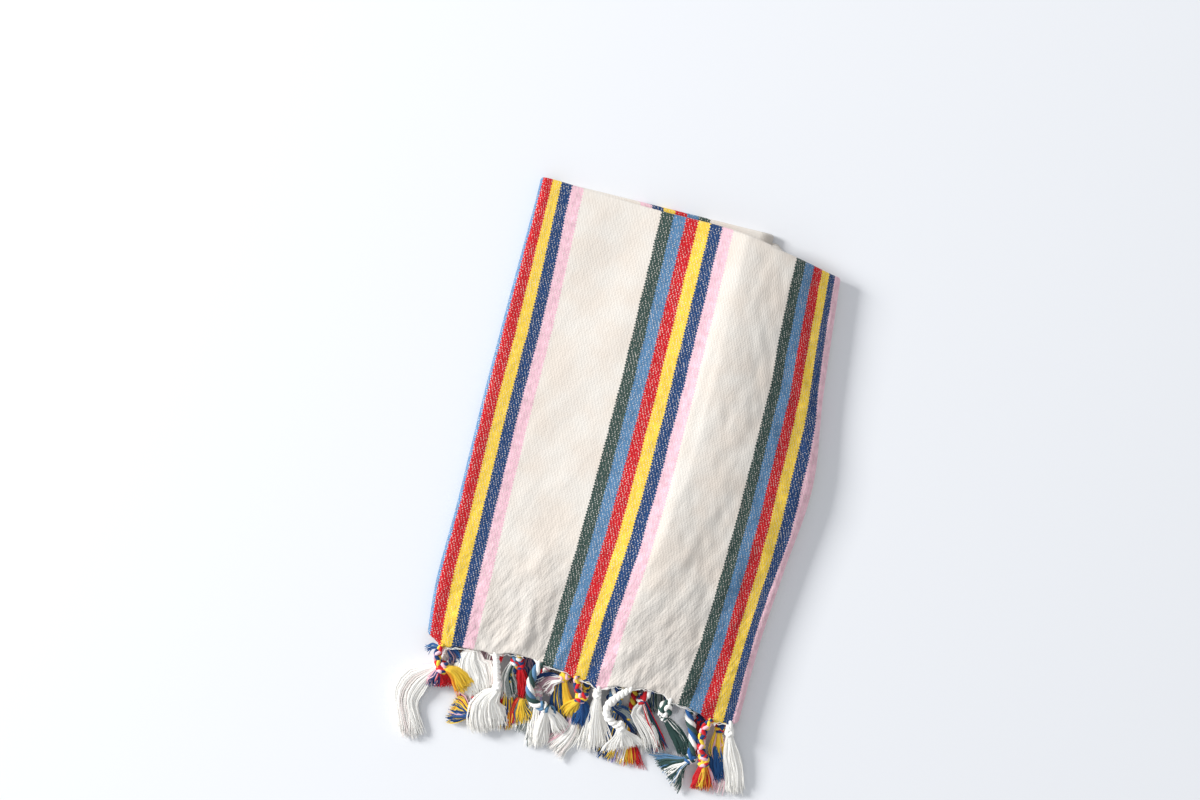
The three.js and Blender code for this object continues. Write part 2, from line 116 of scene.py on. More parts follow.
# Waves of the front: their height, what is added to it by the hem, their size across and along,
# their turn, and whether they are gathers, which only press the cloth down.
FRONT_WAVES = [
    (0.9, 0, 30, 80, -0.25, False), (0.2, 0.6, 13, 30, -0.5, False),
    (0.06, 1.0, 8.5, 17, -0.55, True), (0.04, 0.65, 6, 10, 0.3, True),
    (0.05, 0.3, 4.2, 7.5, 1.1, False),
]
HEM_REACH = 55


def smooth(xs, ys, s):
    """A smooth curve through (xs, ys) at s, without overshoot. ys may hold a column per s."""
    ys = ys[:, None] if ys.ndim == 1 else ys
    s = np.clip(np.atleast_1d(np.asarray(s, float)), xs[0], xs[-1])
    ys = np.broadcast_to(ys, (len(xs), len(s)))
    grade = np.diff(ys, axis=0) / np.diff(xs)[:, None]
    both = grade[:-1] * grade[1:]
    total = np.where(both > 0, grade[:-1] + grade[1:], 1)
    inner = np.where(both > 0, 2 * both / total, 0)
    slope = np.concatenate([grade[:1], inner, grade[-1:]])
    i = np.clip(np.searchsorted(xs, s, side="right") - 1, 0, len(xs) - 2)
    k = np.arange(len(s))
    span = xs[i + 1] - xs[i]
    t = (s - xs[i]) / span
    start = ys[i, k] * (1 + 2 * t) * (1 - t) ** 2
    end = ys[i + 1, k] * t * t * (3 - 2 * t)
    bend = slope[i, k] * t * (1 - t) ** 2 - slope[i + 1, k] * t * t * (1 - t)
    return start + end + span * bend


def rise(value, start, end):
    """0 as far as start, 1 from end on, and a straight climb between. end may be the lower."""
    return np.clip((np.asarray(value) - start) / (end - start), 0, 1)


def section_at(y):
    """The fold centres, crest and stations of the cross sections at an array of y."""
    left, *inner_x, right, crest_rise, radius = (
        smooth(SECTIONS[:, 0], SECTIONS[:, k], y) for k in range(1, 9))
    crest = FRONT_MIDDLE + crest_rise
    right_z = FLAP_MIDDLE + radius
    right_x = right - radius - DOUBLED_HALF
    left_x = left + LEFT_RADIUS + DOUBLED_HALF
    tilt = np.arctan2(FALL_STEEPNESS * (crest - right_z - radius), right_x - inner_x[2])
    stations = np.stack([left_x, *inner_x, right_x + radius * np.sin(tilt)])
    lean = CREST_LEAN * rise(y, 150, 80)
    return dict(radius=radius, crest=crest, right_z=right_z, right_x=right_x, left_x=left_x,
                tilt=tilt, stations=stations, lean=lean)


def front_height(s, u):
    """Height of the front's middle line at u, for each section. The crest leans near the hem."""
    u = u + s["lean"] * rise(abs(u - 134), 65, 15)
    climb = smooth(CLIMB[:, 0], CLIMB[:, 1], u)
    left = FRONT_MIDDLE + (s["crest"] - FRONT_MIDDLE) * climb
    t = rise(u, CREST_U, RIGHT_TURN_U)
    eased = t ** FALL_EASE
    fall = eased * eased * (3 - 2 * eased)
    end = s["right_z"] + s["radius"] * np.cos(s["tilt"])
    run = FALL_SLOPE * (RIGHT_TURN_U - CREST_U)
    right = s["crest"] * (1 - fall) + end * fall + run * np.tan(s["tilt"]) * t * t * (1 - t)
    return np.where(u <= CREST_U, left, right)


def across(part, at, offset, y):
    """x, z and flat u of a column of the cloth, at arrays of offset from the middle and y."""
    s = section_at(y)
    left_arc = math.pi * (LEFT_RADIUS + offset)
    right_arc = math.pi * (SECTIONS[0, 8] + offset)
    stagger = FLAP_STAGGER * offset * 2 / LEAF_PITCH
    if part == "front":
        def x(u):
            return smooth(STATION_U, s["stations"], np.full(len(y), u))
        dx = x(at + 0.5) - x(at - 0.5)
        dz = front_height(s, at + 0.5) - front_height(s, at - 0.5)
        long = np.hypot(dx, dz)
        return x(at) - offset * dz / long, front_height(s, at) + offset * dx / long, 0 * y + at
    if part == "left_fold":
        reach = LEFT_RADIUS + offset
        angle = at * math.pi
        z = FLAP_MIDDLE + LEFT_RADIUS + reach * math.cos(angle)
        return s["left_x"] - reach * math.sin(angle), z, LEFT_TURN_U - at * left_arc
    if part == "right_fold":
        reach = s["radius"] + offset
        angle = s["tilt"] + at * (math.pi - s["tilt"])
        z = s["right_z"] + reach * np.cos(angle)
        return s["right_x"] + reach * np.sin(angle), z, RIGHT_TURN_U + at * right_arc
    if part == "left_flap":
        start = LEFT_TURN_U - left_arc
        x = s["left_x"] + at * (LEFT_FLAP_WIDTH - stagger)
        return x, FLAP_MIDDLE - offset, start + at * (LEFT_EDGE_U - start)
    start = RIGHT_TURN_U + right_arc
    x = s["right_x"] - at * (RIGHT_FLAP_WIDTH - stagger)
    return x, FLAP_MIDDLE - offset, start + at * (RIGHT_EDGE_U - start)


def column_u(part, at, offset):
    """Flat u of a column of the cloth, at an offset from the middle of its two leaves."""
    return float(across(part, at, np.full(1, offset), np.zeros(1))[2][0])


def hem_at(roots, u):
    """y of a hem at u: low at each root, arched between two, and a little ragged."""
    i = int(np.clip(np.searchsorted(roots[:, 0], u) - 1, 0, len(roots) - 2))
    near, far = roots[i], roots[i + 1]
    t = np.clip((u - near[0]) / (far[0] - near[0]), -0.4, 1.4)
    swell = abs(math.sin(math.pi * t)) ** 0.8
    ragged = 0.35 * math.sin(u / 1.9) * math.sin(u / 5.3 + 1)
    return float(near[1] + t * (far[1] - near[1]) + near[2] * swell + ragged)


def slip(u, y):
    """How far the stripes have moved across the cloth at u and y, in millimetres."""
    share = rise(u, 172, 212)
    share = share * share * (3 - 2 * share)
    near = smooth(RIGHT_SLIP[:, 0], RIGHT_SLIP[:, 1], y)
    far = smooth(RIGHT_SLIP[:, 0], RIGHT_SLIP[:, 2], y)
    by_fold = rise(u, 155, 175) * (near * (1 - share) + far * share)
    # Over the fold itself they lie further round at both ends than in the middle.
    on_fold = 3.6 * rise(u, 204, RIGHT_TURN_U) ** 2 * rise(u, 255, 225)
    on_fold = on_fold * rise(abs(y - 155), 35, 75)
    top_left = 2.4 * rise(y, 215, 290) ** 1.5 * np.exp(-((u - 15) / 13) ** 2)
    return by_fold + on_fold + top_left


def crease(u, y, u0, y0, u1, y1, wide, high):
    """A crease between two points: a soft slope on its left and a steep one on its right."""
    long = math.dist((u0, y0), (u1, y1))
    go_u, go_y = (u1 - u0) / long, (y1 - y0) / long
    along = (u - u0) * go_u + (y - y0) * go_y
    aside = (u - u0) * go_y - (y - y0) * go_u
    soft = 2.4 * wide
    taper = np.sin(math.pi * np.clip(along / long, 0, 1)) ** 0.7
    return high * taper * np.exp(-(aside / np.where(aside > 0, wide, soft)) ** 2)


def waves(u, y, across_size, along_size, turn):
    """Random waves of the given size in millimetres, turned on the cloth."""
    a = (u * math.cos(turn) + y * math.sin(turn)) / across_size
    b = (y * math.cos(turn) - u * math.sin(turn)) / along_size
    return np.array([perlin.noise((p, q, across_size)) for p, q in zip(a, b)])


def relief(u, y):
    """Small folds of the front: waves, gathers at the hem, creases and the crest's own edge."""
    near_hem = np.exp(-np.maximum(y, 0) / HEM_REACH)
    high = np.zeros(len(u))
    for height, added, across_size, along_size, turn, gathers in FRONT_WAVES:
        wave = waves(u, y, across_size, along_size, turn)
        high += (height + added * near_hem) * (-np.abs(wave) if gathers else wave)
    for row in CREASES:
        high += crease(u, y, *row)
    falling = rise(u, 135, 160)
    high += falling * (0.5 * waves(u, y, 10, 24, -0.3) + 0.4 * waves(u, y, 5.5, 9, 0.4))
    crest = np.exp(-((u - 133 - 2.5 * np.sin(y / 37)) / 4.5) ** 2)
    return high + 0.7 * crest * rise(y, 70, 160) * rise(y, 275, 215)


# The columns run round the whole section, and each goes up the outer leaf, over the top fold and
# down the inner leaf. The outer rows lie closer together by the hem, by the share given.
LEFT_COUNT, FOLD_COUNT, FRONT_COUNT, RIGHT_COUNT = 16, 12, 152, 7
columns = [("left_flap", k / LEFT_COUNT) for k in range(LEFT_COUNT, 0, -1)]
columns += [("left_fold", k / FOLD_COUNT) for k in range(FOLD_COUNT, 0, -1)]
columns += [("front", LEFT_TURN_U + (RIGHT_TURN_U - LEFT_TURN_U) * k / FRONT_COUNT)
            for k in range(FRONT_COUNT + 1)]
columns += [("right_fold", k / FOLD_COUNT) for k in range(1, FOLD_COUNT + 1)]
columns += [("right_flap", k / RIGHT_COUNT) for k in range(1, RIGHT_COUNT + 1)]

OUTER_COUNT, TURN_COUNT, INNER_COUNT, HEM_CROWDING = 176, 9, 44, 0.38
outer_share = np.linspace(0, 1, OUTER_COUNT)
outer_share = (1 - HEM_CROWDING) * outer_share + HEM_CROWDING * outer_share ** 2
turn = np.arange(1, TURN_COUNT + 1) / (TURN_COUNT + 1) * math.pi
inner_share = np.linspace(1, 0, INNER_COUNT)
row_count = OUTER_COUNT + TURN_COUNT + INNER_COUNT

points = np.zeros((len(columns), row_count, 3))
flat = np.zeros((len(columns), row_count, 2))
half = LEAF_PITCH / 2
offset = np.concatenate([
    np.full(OUTER_COUNT, half), half * np.cos(turn), np.full(INNER_COUNT, -half)])
for j, (part, at) in enumerate(columns):
    fold_y = smooth(TOP_EDGE[:, 0], TOP_EDGE[:, 1], column_u(part, at, 0.0))[0] - DOUBLED_HALF
    outer_hem = hem_at(OUTER_ROOTS, column_u(part, at, half))
    inner_hem = hem_at(INNER_ROOTS, column_u(part, at, -half))
    y = np.concatenate([
        outer_hem + outer_share * (fold_y - outer_hem),
        fold_y + half * np.sin(turn),
        inner_hem + inner_share * (fold_y - inner_hem),
    ])
    x, z, u = across(part, at, offset, np.minimum(y, fold_y))
    # The relief is on the outer leaf alone, and fades towards the side folds and the top fold.
    if part == "front":
        outer = slice(OUTER_COUNT)
        fade = rise(min(at, RIGHT_TURN_U + 5 - at), 0, 9)
        near_fold = np.clip((fold_y - y[outer]) / 10, 0.3, 1)
        z[outer] += fade * relief(u[outer], y[outer]) * near_fold
    points[j] = np.stack([x, y, z], axis=1)
    run = np.concatenate([
        y[:OUTER_COUNT], fold_y + half * turn,
        2 * fold_y + half * math.pi - y[OUTER_COUNT + TURN_COUNT:]])
    flat[j] = np.stack([u + slip(u, y), run], axis=1)


def new_object(name, data):
    """An object at the origin that holds a mesh, a lamp or a camera."""
    thing = bpy.data.objects.new(name, data)
    bpy.context.collection.objects.link(thing)
    return thing


bm = bmesh.new()
bmesh.ops.create_grid(bm, x_segments=len(columns) - 1, y_segments=row_count - 1, size=1)
uv_layer = bm.loops.layers.uv.new("flat")
place = {}
for vert in bm.verts:
    j = round((vert.co.x + 1) / 2 * (len(columns) - 1))
    i = round((vert.co.y + 1) / 2 * (row_count - 1))
    place[vert.index] = (j, i)
    px, py, pz = points[j, i]
    vert.co = Vector((px + TOWEL_ZERO[0], py + TOWEL_ZERO[1], pz)) * MM
for face in bm.faces:
    face.smooth = True
    for loop in face.loops:
        loop[uv_layer].uv = flat[place[loop.vert.index]] * MM
cloth_mesh = bpy.data.meshes.new("towel_cloth_woven")
bm.to_mesh(cloth_mesh)
bm.free()
cloth = new_object("towel_cloth_woven", cloth_mesh)
thickness = cloth.modifiers.new("thickness", "SOLIDIFY")
thickness.thickness = CLOTH_THICK * MM
thickness.offset = 0
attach(cloth, "root")
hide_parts("towel_cloth")


# The cloth's look: cream warp with groups of six coloured warp stripes, crossed everywhere by
# a cream weft that shows as rows of light flecks, a quarter of a repeat further on each pick,
# with here and there a slanted streak. Slubs and fine creases are in the surface.
def new_group(name, source, results):
    """A shader group with one vector input; returns it, that vector and its results' sockets."""
    group = bpy.data.node_groups.new(name, "ShaderNodeTree")
    group.interface.new_socket(source, in_out="INPUT", socket_type="NodeSocketVector")
    for label, kind in results.items():
        group.interface.new_socket(label, in_out="OUTPUT", socket_type="NodeSocket" + kind)
    entry = group.nodes.new("NodeGroupInput")
    leave = group.nodes.new("NodeGroupOutput")
    return group, entry.outputs[source], leave.inputs


def feed(tree, value, socket):
    """Links an output to an input, or sets the input to a number or an RGB triple."""
    if isinstance(value, tuple):
        socket.default_value = (*value, 1)
    elif isinstance(value, (int, float)):
        socket.default_value = value
    else:
        tree.links.new(value, socket)


def use_group(tree, group, **inputs):
    """A shader group placed in a tree, with its inputs linked; returns its outputs."""
    node = tree.nodes.new("ShaderNodeGroup")
    node.node_tree = group
    for label, value in inputs.items():
        tree.links.new(value, node.inputs[label])
    return node.outputs


def math_node(tree, operation, a, b=None, c=None):
    """A Math node whose inputs are outputs of other nodes or numbers."""
    node = tree.nodes.new("ShaderNodeMath")
    node.operation = operation
    for socket, value in zip(node.inputs, (a, b, c)):
        if value is not None:
            feed(tree, value, socket)
    return node.outputs[0]


def plus(tree, a, b):
    """The sum of two values."""
    return math_node(tree, "ADD", a, b)


def times(tree, a, b):
    """The product of two values."""
    return math_node(tree, "MULTIPLY", a, b)


def times_plus(tree, a, b, c):
    """The product of two values with a third value added."""
    return math_node(tree, "MULTIPLY_ADD", a, b, c)


def both_ways(tree, share, size):
    """A share from 0 to 1 as a number from minus half the size to plus half of it."""
    return times_plus(tree, share, size, -size / 2)


def blend_colours(tree, factor, a, b):
    """A colour mix; a and b are outputs or RGB triples."""
    node = tree.nodes.new("ShaderNodeMix")
    node.data_type = "RGBA"
    feed(tree, factor, node.inputs["Factor"])
    for name, value in (("A", a), ("B", b)):
        feed(tree, value, next(s for s in node.inputs if s.name == name and s.type == "RGBA"))
    return next(s for s in node.outputs if s.type == "RGBA")


def scaled(tree, colour, factor):
    """A colour made lighter or darker by a factor."""
    node = tree.nodes.new("ShaderNodeVectorMath")
    node.operation = "SCALE"
    tree.links.new(colour, node.inputs[0])
    feed(tree, factor, node.inputs["Scale"])
    return node.outputs[0]


def axes_of(tree, vector):
    """The X, Y and Z of a vector."""
    node = tree.nodes.new("ShaderNodeSeparateXYZ")
    tree.links.new(vector, node.inputs[0])
    return node.outputs


def noise(tree, vector, scale, detail=2.0):
    """Soft noise from 0 to 1, with scale bumps to a unit of the vector."""
    node = tree.nodes.new("ShaderNodeTexNoise")
    node.inputs["Scale"].default_value = scale
    node.inputs["Detail"].default_value = detail
    tree.links.new(vector, node.inputs["Vector"])
    return node.outputs["Fac"]


def mapped(tree, vector, turn, stretch):
    """Coordinates for a pattern that is stretched along its y and then turned."""
    node = tree.nodes.new("ShaderNodeMapping")
    node.vector_type = "TEXTURE"
    node.inputs["Rotation"].default_value[2] = turn
    node.inputs["Scale"].default_value = (1, stretch, 1)
    tree.links.new(vector, node.inputs["Vector"])
    return node.outputs[0]


def ramp(tree, value, low, high):
    """0 at low and 1 at high, and flat beyond them."""
    node = tree.nodes.new("ShaderNodeMapRange")
    node.interpolation_type = "SMOOTHSTEP"
    node.inputs["From Min"].default_value = low
    node.inputs["From Max"].default_value = high
    tree.links.new(value, node.inputs["Value"])
    return node.outputs["Result"]


def cell_of(tree, column, row=None):
    """A vector with the whole parts of one or two values."""
    node = tree.nodes.new("ShaderNodeCombineXYZ")
    tree.links.new(math_node(tree, "FLOOR", column), node.inputs["X"])
    if row is not None:
        tree.links.new(math_node(tree, "FLOOR", row), node.inputs["Y"])
    return node.outputs[0]


def centred(tree, value, size):
    """Distance in millimetres from the middle of the value's cell."""
    inside = plus(tree, math_node(tree, "FRACT", value), -0.5)
    return times(tree, inside, size)


def chance_of(tree, cell):
    """A random share for each cell."""
    node = tree.nodes.new("ShaderNodeTexWhiteNoise")
    tree.links.new(cell, node.inputs["Vector"])
    return node.outputs["Value"]


def reshuffled(tree, share, factor):
    """Another random share, made from one."""
    return math_node(tree, "FRACT", times(tree, share, factor))


def bump(tree, height, strength, distance, under=None):
    """A normal with the relief of a height, on top of the normal under it."""
    node = tree.nodes.new("ShaderNodeBump")
    node.inputs["Strength"].default_value = strength
    node.inputs["Distance"].default_value = distance
    tree.links.new(height, node.inputs["Height"])
    if under is not None:
        tree.links.new(under, node.inputs["Normal"])
    return node.outputs[0]


def cotton_material(name, uv_name, finish):
    """A material with a finish on its own shader; returns it, its tree, shader and UV output."""
    material = bpy.data.materials.new(name)
    material.use_nodes = True
    tree = material.node_tree
    surface = tree.nodes["Principled BSDF"]
    for label, value in finish.items():
        surface.inputs[label].default_value = value
    coordinates = tree.nodes.new("ShaderNodeUVMap")
    coordinates.uv_map = uv_name
    return material, tree, surface, coordinates.outputs[0]


# The coloured stripes in their order, the width of one, their repeat and where that starts.
STRIPES = {
    "green": (0.036, 0.068, 0.059), "blue": (0.085, 0.20, 0.36), "red": (0.52, 0.008, 0.014),
    "yellow": (0.86, 0.58, 0.060), "navy": (0.012, 0.048, 0.150), "pink": (0.83, 0.515, 0.59),
}
STRIPE_WIDTH, STRIPE_REPEAT, STRIPE_START = 8.0, 98.0, -16.0
# How far a stripe's edge wanders, and how far it steps to and fro with the picks.
EDGE_DRIFT, EDGE_STEP = 1.4, 0.95
# From pick to pick, from fleck to fleck, and how much further on a fleck is at the next pick.
PICK_PITCH, FLECK_SPACING, FLECK_SHIFT = 1.1, 2.0, 0.25
# The cream cotton, which varies between two tones, and a darker cream painted towards the hem as
# painted shade.
CREAM_DARK = (0.80, 0.715, 0.63)
CREAM_LIGHT = (0.82, 0.77, 0.705)
CREAM_SHADE_BY_HEM = (0.66, 0.61, 0.56)

stripes, flat_in, result = new_group("warp_stripes", "Flat", {"Warp": "Color", "Coloured": "Float"})
axes = axes_of(stripes, flat_in)
step = math_node(stripes, "PINGPONG", axes["Y"], EDGE_STEP * MM)
drift = both_ways(stripes, noise(stripes, flat_in, 60.0), EDGE_DRIFT * MM)
shifted = plus(stripes, plus(stripes, axes["X"], times(stripes, step, 1.1)), drift)
shifted = plus(stripes, shifted, -STRIPE_START * MM)
phase = math_node(stripes, "FRACT", math_node(stripes, "DIVIDE", shifted, STRIPE_REPEAT * MM))
bands = stripes.nodes.new("ShaderNodeValToRGB")
bands.color_ramp.interpolation = "CONSTANT"
bands.color_ramp.elements.remove(bands.color_ramp.elements[1])
band = bands.color_ramp.elements[0]
for number, colour in enumerate(STRIPES.values()):
    if number > 0:
        band = bands.color_ramp.elements.new(number * STRIPE_WIDTH / STRIPE_REPEAT)
    band.color = (*colour, 1)
stripes.links.new(phase, bands.inputs["Fac"])
stripes.links.new(bands.outputs["Color"], result["Warp"])
coloured = math_node(stripes, "LESS_THAN", phase, len(STRIPES) * STRIPE_WIDTH / STRIPE_REPEAT)
stripes.links.new(coloured, result["Coloured"])

weave, flat_in, result = new_group("flat_weave", "Flat", {"Weft": "Float", "Height": "Float"})
axes = axes_of(weave, flat_in)
pick = math_node(weave, "DIVIDE", axes["Y"], PICK_PITCH * MM)
place_across = math_node(weave, "DIVIDE", axes["X"], FLECK_SPACING * MM)

# Flecks: one near the middle of each cell, moved a little, and stronger here and there. How far
# away its middle is goes into them squared.
fleck = times_plus(weave, math_node(weave, "FLOOR", pick), FLECK_SHIFT, place_across)
luck = chance_of(weave, cell_of(weave, fleck, pick))
aside = plus(weave, centred(weave, fleck, FLECK_SPACING), both_ways(weave, luck, 0.9))
jitter = both_ways(weave, reshuffled(weave, luck, 23.7), 0.5)
along = plus(weave, centred(weave, pick, PICK_PITCH), jitter)
away = times_plus(weave, aside, aside, times(weave, along, along))
patches = both_ways(weave, noise(weave, flat_in, 55.0), 0.9)
strong = plus(weave, reshuffled(weave, luck, 7.3), patches)
dots = times(weave, ramp(weave, away, 0.19, 0.03), ramp(weave, strong, -0.3, 1.0))

# Streaks: slanted lines between the flecks, each about four picks long, and only in patches.
line = plus(weave, times_plus(weave, pick, FLECK_SHIFT, place_across), -FLECK_SHIFT / 2)
start = chance_of(weave, cell_of(weave, line))
stretch = times_plus(weave, pick, 0.24, times(weave, start, 5))
thin = math_node(weave, "ABSOLUTE", centred(weave, line, FLECK_SPACING))
ends = math_node(weave, "ABSOLUTE", centred(weave, stretch, 1))
streaks = times(weave, ramp(weave, thin, 0.34, 0.12), ramp(weave, ends, 0.47, 0.3))
where = ramp(weave, noise(weave, flat_in, 60.0, 1.0), 0.56, 0.64)
shown = ramp(weave, chance_of(weave, cell_of(weave, line, stretch)), 0.6, 1.0)
streaks = times(weave, streaks, times(weave, times(weave, where, shown), 0.65))
weave.links.new(math_node(weave, "MAXIMUM", dots, streaks), result["Weft"])
height = times_plus(weave, ramp(weave, away, 0.9, 0.0), 0.8, dots)
weave.links.new(height, result["Height"])

# Fine creases run slantwise and are deeper by the hem; slubs are thick places along the warp.
creases, flat_in, result = new_group("cloth_creases", "Flat", {"Height": "Float"})
crinkle = noise(creases, mapped(creases, flat_in, -0.45, 3.4), 380.0, 3.0)
ripple = noise(creases, mapped(creases, flat_in, -0.6, 2.6), 120.0, 2.0)
slub = noise(creases, mapped(creases, flat_in, 0.0, 18.0), 1100.0, 1.0)
height = times_plus(creases, ripple, 0.9, crinkle)
at_hem = ramp(creases, axes_of(creases, flat_in)["Y"], 0.11, 0.01)
height = times(creases, height, times_plus(creases, at_hem, 2.7, 0.55))
height = times_plus(creases, slub, 0.2, height)
creases.links.new(height, result["Height"])

woven, tree, surface, flat_uv = cotton_material("woven_cotton_striped", "flat", {
    "Roughness": 0.92, "Specular IOR Level": 0.18, "Sheen Weight": 0.12, "Sheen Roughness": 0.5})
warp = use_group(tree, stripes, Flat=flat_uv)
thread = use_group(tree, weave, Flat=flat_uv)
fold = use_group(tree, creases, Flat=flat_uv)
tone = ramp(tree, noise(tree, flat_uv, 40.0, 3.0), 0.3, 0.7)
cream = blend_colours(tree, tone, CREAM_DARK, CREAM_LIGHT)
# Painted shade: towards the hem the cream is mixed with a darker cream, where the gathered cloth lies
# in shade.
at_hem = ramp(tree, axes_of(tree, flat_uv)["Y"], 0.085, 0.02)
cream = blend_colours(tree, times(tree, at_hem, 0.52), cream, CREAM_SHADE_BY_HEM)
yarn_tone = noise(tree, mapped(tree, flat_uv, 0.0, 30.0), 1900.0, 1.0)
mottle = both_ways(tree, noise(tree, flat_uv, 230.0), 0.7)
yarn_tone = times_plus(tree, yarn_tone, 0.4, plus(tree, mottle, 0.8))
dyed = scaled(tree, warp["Warp"], yarn_tone)
# Painted shade: where it is cream, the warp between the flecks is a little darker than the cream weft.
ground = blend_colours(tree, warp["Coloured"], scaled(tree, cream, 0.975), dyed)
weft_share = times(tree, thread["Weft"], 0.78)
tree.links.new(blend_colours(tree, weft_share, ground, cream), surface.inputs["Base Color"])
fine = bump(tree, thread["Height"], 0.42, 0.12 * MM)
tree.links.new(bump(tree, fold["Height"], 0.6, 0.35 * MM, fine), surface.inputs["Normal"])
cloth_mesh.materials.append(woven)

# The fringe: groups of warp ends twisted into cords, each tied in an overhand knot and left as
# a brush of loose yarn. Both ends of the towel have it, so it lies in four rows, one for each
# leaf: the top one on the front, the second under it, and two on the flaps.
YARN_COLOURS = {
    "cream": (0.985, 0.935, 0.86), "green": (0.028, 0.070, 0.062), "blue": (0.10, 0.22, 0.37),
    "red": (0.60, 0.010, 0.018), "yellow": (0.88, 0.59, 0.05), "navy": (0.010, 0.045, 0.16),
    "pink": (0.82, 0.50, 0.56), "mauve": (0.40, 0.24, 0.28), "lilac": (0.56, 0.47, 0.70),
    "orange": (0.85, 0.30, 0.03), "sea": (0.02, 0.10, 0.29), "blush": (0.97, 0.84, 0.80),
    "grey": (0.36, 0.40, 0.38),
}
# Cords by their number of plies: a ply's radius, how far it lies from the middle, the length
# of a turn, and the size of the knot.
CORD_MAKE = {2: (1.45, 1.2, 6.4, 0.92), 3: (1.5, 1.55, 14.0, 1.0), 4: (1.25, 1.5, 13.0, 1.12)}
# A ply is spun of seven yarns. The threads that the hem gives to a cord are this far apart.
PLY_YARNS, THREAD_PITCH = 7, 1.4
YARN_RADIUS, THREAD_RADIUS, HEM_THREAD_RADIUS = 0.41, 0.4, 0.17
YARNS_IN_CLUMP, STRAY_SHARE, GOLDEN_ANGLE = 9, 0.16, 2.399963
# A lock that starts this near to the knot grows out of it, with this width there.
NEAR_KNOT, KNOT_NECK = 7, 2.6
